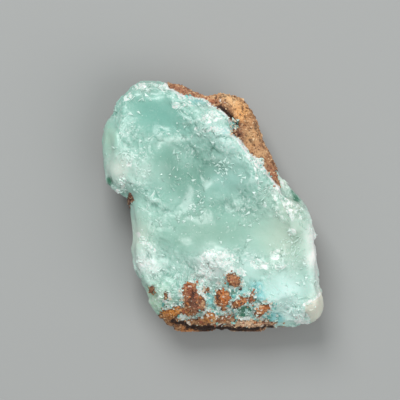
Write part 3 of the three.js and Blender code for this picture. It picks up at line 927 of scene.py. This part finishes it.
def stoneBump(tree, place, finish, rock, relief, crumb):
    # Chips, fibres and haze on the vein, less on its calm parts, and crumbs on the rock
    chips = addNode(tree, "ShaderNodeTexVoronoi",
                    {"Vector": place, "Scale": 1000.0 / finish["chip"]}, distance="MANHATTAN")
    haze, threads = relief
    relief = calculate(tree, "MULTIPLY_ADD", chips.outputs["Distance"], 0.5, haze)
    relief = calculate(tree, "MULTIPLY_ADD", threads, 0.9, relief)
    level = mapRange(tree, readMask(tree, "calm"), 0, 0.9, 0.65, 0.14)
    relief = calculate(tree, "MULTIPLY", relief, level)
    height = addNode(tree, "ShaderNodeMix", {0: rock, 2: relief, 3: crumb.outputs["Height"]})
    return addNode(tree, "ShaderNodeBump",
                   {"Strength": 0.6, "Distance": 0.0004, "Height": height.outputs[0]}).outputs[0]


def makeStoneMaterial(finish):
    material, tree, shader, place = newMaterial("chrysocollaVein")
    haze = noise(tree, place, finish["hazeSize"], 3.0, 0.6)
    spray = addNode(tree, "ShaderNodeGroup", {
        "Place": place, "Domain": finish["domain"], "Fibre": finish["fibre"],
    }, node_tree=sprayGroup)
    crumb = rockCrumb(tree, place, finish)
    rockMask = readMask(tree, "rock")
    edge = noise(tree, place, 0.7, 2.0, 0.5)  # frays the edges of the rock and of the clefts
    rock = mapRange(tree, calculate(tree, "MULTIPLY_ADD", edge, 0.6, rockMask), 0.62, 0.98)
    # Painted shade along the edges of the rock and its raised patches
    brown = tint(tree, crumb.outputs["Color"], finish["brinkShadeTone"],
                 mapRange(tree, rockMask, 0.99, 0.7, 0, 0.7))
    colour = mixColour(tree, rock, colourVein(tree, place, finish, haze, spray), brown)
    # Painted shade darkens the crevice under the rim; the black seam at the lower edge takes the
    # same near-black colour
    colour = tint(tree, colour, shadeAndSeamTone, readMask(tree, "crevice"),
                  mapRange(tree, edge, 0.30, 0.42, 0.65, 1.0))
    colour = tint(tree, colour, crustTone, readMask(tree, "streak"), 0.95)
    gloss = mapRange(tree, readMask(tree, "calm"), 0, 1, finish["gloss"], finish["calmGloss"])
    roughness = addNode(tree, "ShaderNodeMix", {0: rock, 2: gloss, 3: finish["rockRoughness"]})
    vein = calculate(tree, "SUBTRACT", 1.0, rock)
    setInputs(tree, shader, {
        "Base Color": colour, "Roughness": roughness.outputs[0], "IOR": 1.52,
        "Subsurface Weight": calculate(tree, "MULTIPLY", vein, finish["lightShare"]),
        "Subsurface Radius": (0.7, 1.0, 0.95), "Subsurface Scale": finish["lightDepth"] * metres,
        "Coat Weight": calculate(tree, "MULTIPLY", vein, finish["coat"]),
        "Coat Roughness": finish["coatRoughness"],
        "Normal": stoneBump(tree, place, finish, rock, (haze, spray.outputs["Mask"]), crumb),
    })
    return material


stone = makeStone(stoneForm)
stone.data.materials.append(makeStoneMaterial(stoneFinish))
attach(stone, "root")
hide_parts("chrysocolla_stone")


# Crystal chips and crumbs of host rock, strewn over the stone with Geometry Nodes

strewnShapes = {
    "blade": ("GeometryNodeMeshCone",
              {"Vertices": 4, "Radius Top": 0.3, "Radius Bottom": 1.0, "Depth": 1.0}),
    "chip": ("GeometryNodeMeshCone",
             {"Vertices": 3, "Radius Top": 0.45, "Radius Bottom": 1.0, "Depth": 1.0}),
    "crumb": ("GeometryNodeMeshIcoSphere", {"Radius": 1.0, "Subdivisions": 1}),
}
strewInputs = [
    ("Geometry", "NodeSocketGeometry"), ("Where", "NodeSocketString"),
    ("Density", "NodeSocketFloat"), ("Smallest", "NodeSocketFloat"),
    ("Largest", "NodeSocketFloat"), ("Flatness", "NodeSocketFloat"),
    ("Lean", "NodeSocketFloat"), ("Seed", "NodeSocketInt"),
]
randomSockets = {"FLOAT_VECTOR": (0, 1, 0), "FLOAT": (2, 3, 1)}  # low, high and result


def randomValue(tree, low, high, seed, kind="FLOAT"):
    lowSocket, highSocket, result = randomSockets[kind]
    made = addNode(tree, "FunctionNodeRandomValue",
                   {lowSocket: low, highSocket: high, "Seed": seed}, data_type=kind)
    return made.outputs[result]


def turnPieces(tree, shape, given, points):
    # Blades follow their feathers, the rest stand on the surface. All lean a little at random
    lean = given["Lean"]
    less = calculate(tree, "MULTIPLY", lean, -1.0)
    fromTurn = addNode(tree, "ShaderNodeCombineXYZ", {0: less, 1: less, 2: 0.0})
    toTurn = addNode(tree, "ShaderNodeCombineXYZ", {0: lean, 1: lean, 2: 2 * math.pi})
    turn = randomValue(tree, fromTurn.outputs[0], toTurn.outputs[0], given["Seed"], "FLOAT_VECTOR")
    spin = addNode(tree, "FunctionNodeEulerToRotation", {"Euler": turn})
    stand = points.outputs["Rotation"]
    if shape == "blade":
        aim = addNode(tree, "GeometryNodeInputNamedAttribute", {"Name": "feather"},
                      data_type="FLOAT_VECTOR")
        stand = addNode(tree, "FunctionNodeAlignRotationToVector",
                        {"Vector": aim.outputs["Attribute"]}, axis="Z").outputs[0]
    turned = addNode(tree, "FunctionNodeRotateRotation",
                     {"Rotation": stand, "Rotate By": spin.outputs[0]}, rotation_space="LOCAL")
    return turned.outputs[0]


def sizePieces(tree, given):  # a random size, stretched at random
    seed = given["Seed"]
    size = randomValue(tree, given["Smallest"], given["Largest"], calculate(tree, "ADD", seed, 7))
    stretch = randomValue(tree, (0.5, 0.3, 0.6), (1.6, 0.9, 1.2),
                          calculate(tree, "ADD", seed, 11), "FLOAT_VECTOR")
    flat = addNode(tree, "ShaderNodeCombineXYZ", {0: 1.0, 1: 1.0, 2: given["Flatness"]})
    scale = vectorMath(tree, "MULTIPLY", {0: stretch, 1: flat.outputs[0]})
    return vectorMath(tree, "SCALE", {0: scale, 3: size})


def makeStrewTree(name, shape, material):
    tree = bpy.data.node_groups.new(name, "GeometryNodeTree")
    for label, kind in strewInputs:
        tree.interface.new_socket(label, in_out="INPUT", socket_type=kind)
    tree.interface.new_socket("Geometry", in_out="OUTPUT", socket_type="NodeSocketGeometry")
    given = tree.nodes.new("NodeGroupInput").outputs
    result = tree.nodes.new("NodeGroupOutput")
    where = addNode(tree, "GeometryNodeInputNamedAttribute", {"Name": given["Where"]},
                    data_type="FLOAT")
    density = calculate(tree, "MULTIPLY", where.outputs["Attribute"], given["Density"])
    points = addNode(tree, "GeometryNodeDistributePointsOnFaces",
                     {"Mesh": given["Geometry"], "Density": density, "Seed": given["Seed"]})
    piece = addNode(tree, *strewnShapes[shape])
    strewn = addNode(tree, "GeometryNodeInstanceOnPoints", {
        "Points": points.outputs["Points"], "Instance": piece.outputs["Mesh"],
        "Rotation": turnPieces(tree, shape, given, points), "Scale": sizePieces(tree, given),
    })
    shade = randomValue(tree, 0.0, 1.0, calculate(tree, "ADD", given["Seed"], 13))
    named = addNode(tree, "GeometryNodeStoreNamedAttribute",
                    {"Geometry": strewn.outputs[0], "Name": "shade", "Value": shade},
                    data_type="FLOAT", domain="INSTANCE")
    real = addNode(tree, "GeometryNodeRealizeInstances", {"Geometry": named.outputs[0]})
    finished = addNode(tree, "GeometryNodeSetMaterial",
                       {"Geometry": real.outputs[0], "Material": material})
    setInputs(tree, result, {"Geometry": finished.outputs[0]})
    return tree


def strew(name, tree, values):
    base = bpy.data.objects.new(name + "Base", stone.data.copy())
    bpy.context.collection.objects.link(base)
    modifier = base.modifiers.new("strew", "NODES")
    modifier.node_group = tree
    for item in tree.interface.items_tree:
        if item.in_out == "INPUT" and item.name in values:
            modifier[item.identifier] = values[item.name]
    graph = bpy.context.evaluated_depsgraph_get()
    ready = base.evaluated_get(graph)
    mesh = bpy.data.meshes.new_from_object(ready, preserve_all_data_layers=True, depsgraph=graph)
    base.modifiers.clear()
    bpy.data.objects.remove(base)
    mesh.name = name
    places = np.empty(len(mesh.vertices) * 3, "f")
    mesh.vertices.foreach_get("co", places)
    places = np.clip(places.reshape(-1, 3), cadBox[0], cadBox[1])
    mesh.vertices.foreach_set("co", places.astype("f").ravel())
    mesh.polygons.foreach_set("use_smooth", np.zeros(len(mesh.polygons), bool))
    mesh.update()
    piece = bpy.data.objects.new(name, mesh)
    bpy.context.collection.objects.link(piece)
    print(name + ":", len(mesh.polygons), "faces")
    return piece


# Sizes are in metres, and a density is the number on a square metre where the share that
# "Where" names is 1

crystalFinish = {
    "clearTone": (232, 250, 243),
    "cloudTone": (178, 218, 208),
    "roughness": (0.5, 0.25),
}
brightFlecks = {
    "Where": "fleckShare", "Density": 1.0e6, "Smallest": 0.0002, "Largest": 0.0009,
    "Flatness": 0.34, "Lean": 0.42, "Seed": 3,
}
sugaryCrust = {
    "Where": "crustShare", "Density": 1.6e6, "Smallest": 0.00025, "Largest": 0.0007,
    "Flatness": 0.5, "Lean": 0.8, "Seed": 5,
}
featherBlades = {
    "Where": "featherShare", "Density": 1.4e6, "Smallest": 0.0001, "Largest": 0.00026,
    "Flatness": 6.5, "Lean": 0.2, "Seed": 27,
}
limoniteGrit = {
    "Where": "gritShare", "Density": 2.6e6, "Smallest": 0.00014, "Largest": 0.00048,
    "Flatness": 0.85, "Lean": 0.8, "Seed": 9, "roughness": 0.7,
    "speckTone": (66, 46, 36), "crumbTone": (228, 188, 140),
    "lightTone": (240, 210, 168), "deepTone": (84, 54, 40),
}
paleCrumbs = {
    "Where": "paleShare", "Density": 1.5e6, "Smallest": 0.00025, "Largest": 0.0008,
    "Flatness": 0.8, "Lean": 0.8, "Seed": 15, "roughness": 0.4,
    "tones": ((232, 242, 235), (150, 214, 206), (206, 232, 222), (222, 210, 190), (112, 184, 178)),
}
darkCrumbs = {
    "Where": "darkShare", "Density": 0.7e6, "Smallest": 0.00025, "Largest": 0.0007,
    "Flatness": 0.8, "Lean": 0.8, "Seed": 21, "roughness": 0.6,
    "tones": ((150, 84, 54), (196, 124, 72), (84, 50, 42), (176, 112, 82), (222, 206, 188)),
}


def makeCrystalMaterial(finish):
    material, tree, shader, place = newMaterial("clearCrystal")
    shade = readMask(tree, "shade")
    colour = tint(tree, readTone(tree, "veinTone"), finish["clearTone"],
                  mapRange(tree, shade, 0, 1, 0.1, 0.85))
    clouded = mapRange(tree, noise(tree, place, 0.6, 2.0, 0.5), 0.35, 0.65, 0, 0.25)
    setInputs(tree, shader, {
        "Base Color": tint(tree, colour, finish["cloudTone"], clouded), "IOR": 1.54,
        "Roughness": mapRange(tree, shade, 0, 1, *finish["roughness"]),
    })
    return material


def makeCrumbMaterial(name, finish):
    material, tree, shader, place = newMaterial(name)
    shade = readMask(tree, "shade")
    tones = finish["tones"]
    colour = rgba(tones[0])
    for number, tone in enumerate(tones[1:], 1):
        colour = tint(tree, colour, tone,
                      calculate(tree, "GREATER_THAN", shade, number / len(tones)))
    mottled = mapRange(tree, noise(tree, place, 0.3, 2.0, 0.6), 0.35, 0.65, 0.7, 1.1)
    colour = mixColour(tree, 1.0, colour, mottled, "MULTIPLY")
    setInputs(tree, shader, {"Base Color": colour, "Roughness": finish["roughness"]})
    return material


def makeGritMaterial(finish):
    material, tree, shader, place = newMaterial("limoniteCrumb")
    shade = readMask(tree, "shade")
    crumb = rockCrumb(tree, place, finish)
    colour = tint(tree, crumb.outputs["Color"], finish["lightTone"],
                  mapRange(tree, shade, 0.72, 1.0, 0, 0.75))
    colour = tint(tree, colour, finish["deepTone"], mapRange(tree, shade, 0.34, 0.0, 0, 0.8))
    bump = addNode(tree, "ShaderNodeBump",
                   {"Strength": 0.5, "Distance": 0.0002, "Height": crumb.outputs["Height"]})
    setInputs(tree, shader, {
        "Base Color": colour, "Roughness": finish["roughness"], "Normal": bump.outputs[0],
    })
    return material


crystal = makeCrystalMaterial(crystalFinish)
chipTree = makeStrewTree("strewChips", "chip", crystal)
bladeTree = makeStrewTree("strewBlades", "blade", crystal)
gritTree = makeStrewTree("strewGrit", "crumb", makeGritMaterial(limoniteGrit))
paleTree = makeStrewTree("strewPale", "chip", makeCrumbMaterial("paleCrumb", paleCrumbs))
darkTree = makeStrewTree("strewDark", "crumb", makeCrumbMaterial("darkCrumb", darkCrumbs))
for name, tree, values, slot in (
    ("brightFlecks", chipTree, brightFlecks, "quartz"),
    ("sugaryCrust", chipTree, sugaryCrust, "quartz"),
    ("featherBlades", bladeTree, featherBlades, "quartz"),
    ("limoniteGrit", gritTree, limoniteGrit, "limonite"),
    ("paleCrumbs", paleTree, paleCrumbs, "quartz"),
    ("darkCrumbs", darkTree, darkCrumbs, "limonite"),
):
    piece = strew(name, tree, values)
    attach(piece, "root")
    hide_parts("chrysocolla_stone")


# Floor and light

lightSetup = {  # places and sizes in metres
    "floorTone": (164, 166, 165),
    "floorHalf": 3.0,
    "key": {"place": (-0.25, 0.75, 0.9), "size": 0.6, "power": 10.0},
    "fill": {"place": (0.7, -0.4, 0.8), "size": 1.0, "power": 5.0},
    "skyTone": (0.98, 1.0, 1.0),
    "sky": 0.42,
}


def makeLamp(name, setup):
    data = bpy.data.lights.new(name, "AREA")
    data.size = setup["size"]
    data.energy = setup["power"]
    lamp = bpy.data.objects.new(name, data)
    lamp.location = setup["place"]
    lamp.rotation_mode = "QUATERNION"
    lamp.rotation_quaternion = (-lamp.location).to_track_quat("-Z", "Y")
    lamp.visible_camera = False
    bpy.context.collection.objects.link(lamp)


def makeSky(setup):
    world = bpy.data.worlds.new("studio")
    world.use_nodes = True
    sky = world.node_tree.nodes["Background"]
    sky.inputs["Color"].default_value = (*setup["skyTone"], 1)
    sky.inputs["Strength"].default_value = setup["sky"]
    bpy.context.scene.world = world


def makeFloor(setup):
    half = setup["floorHalf"]
    mesh = bpy.data.meshes.new("floor")
    mesh.from_pydata([(-half, -half, 0), (half, -half, 0), (half, half, 0), (-half, half, 0)],
                     [], [(0, 1, 2, 3)])
    material, _, shader, _ = newMaterial("paleFloor")
    shader.inputs["Base Color"].default_value = rgba(setup["floorTone"])
    shader.inputs["Roughness"].default_value = 0.9
    mesh.materials.append(material)
    floor = bpy.data.objects.new("floor", mesh)
    bpy.context.collection.objects.link(floor)


makeLamp("keyLight", lightSetup["key"])
makeLamp("fillLight", lightSetup["fill"])
makeSky(lightSetup)
makeFloor(lightSetup)
print("surroundings made")
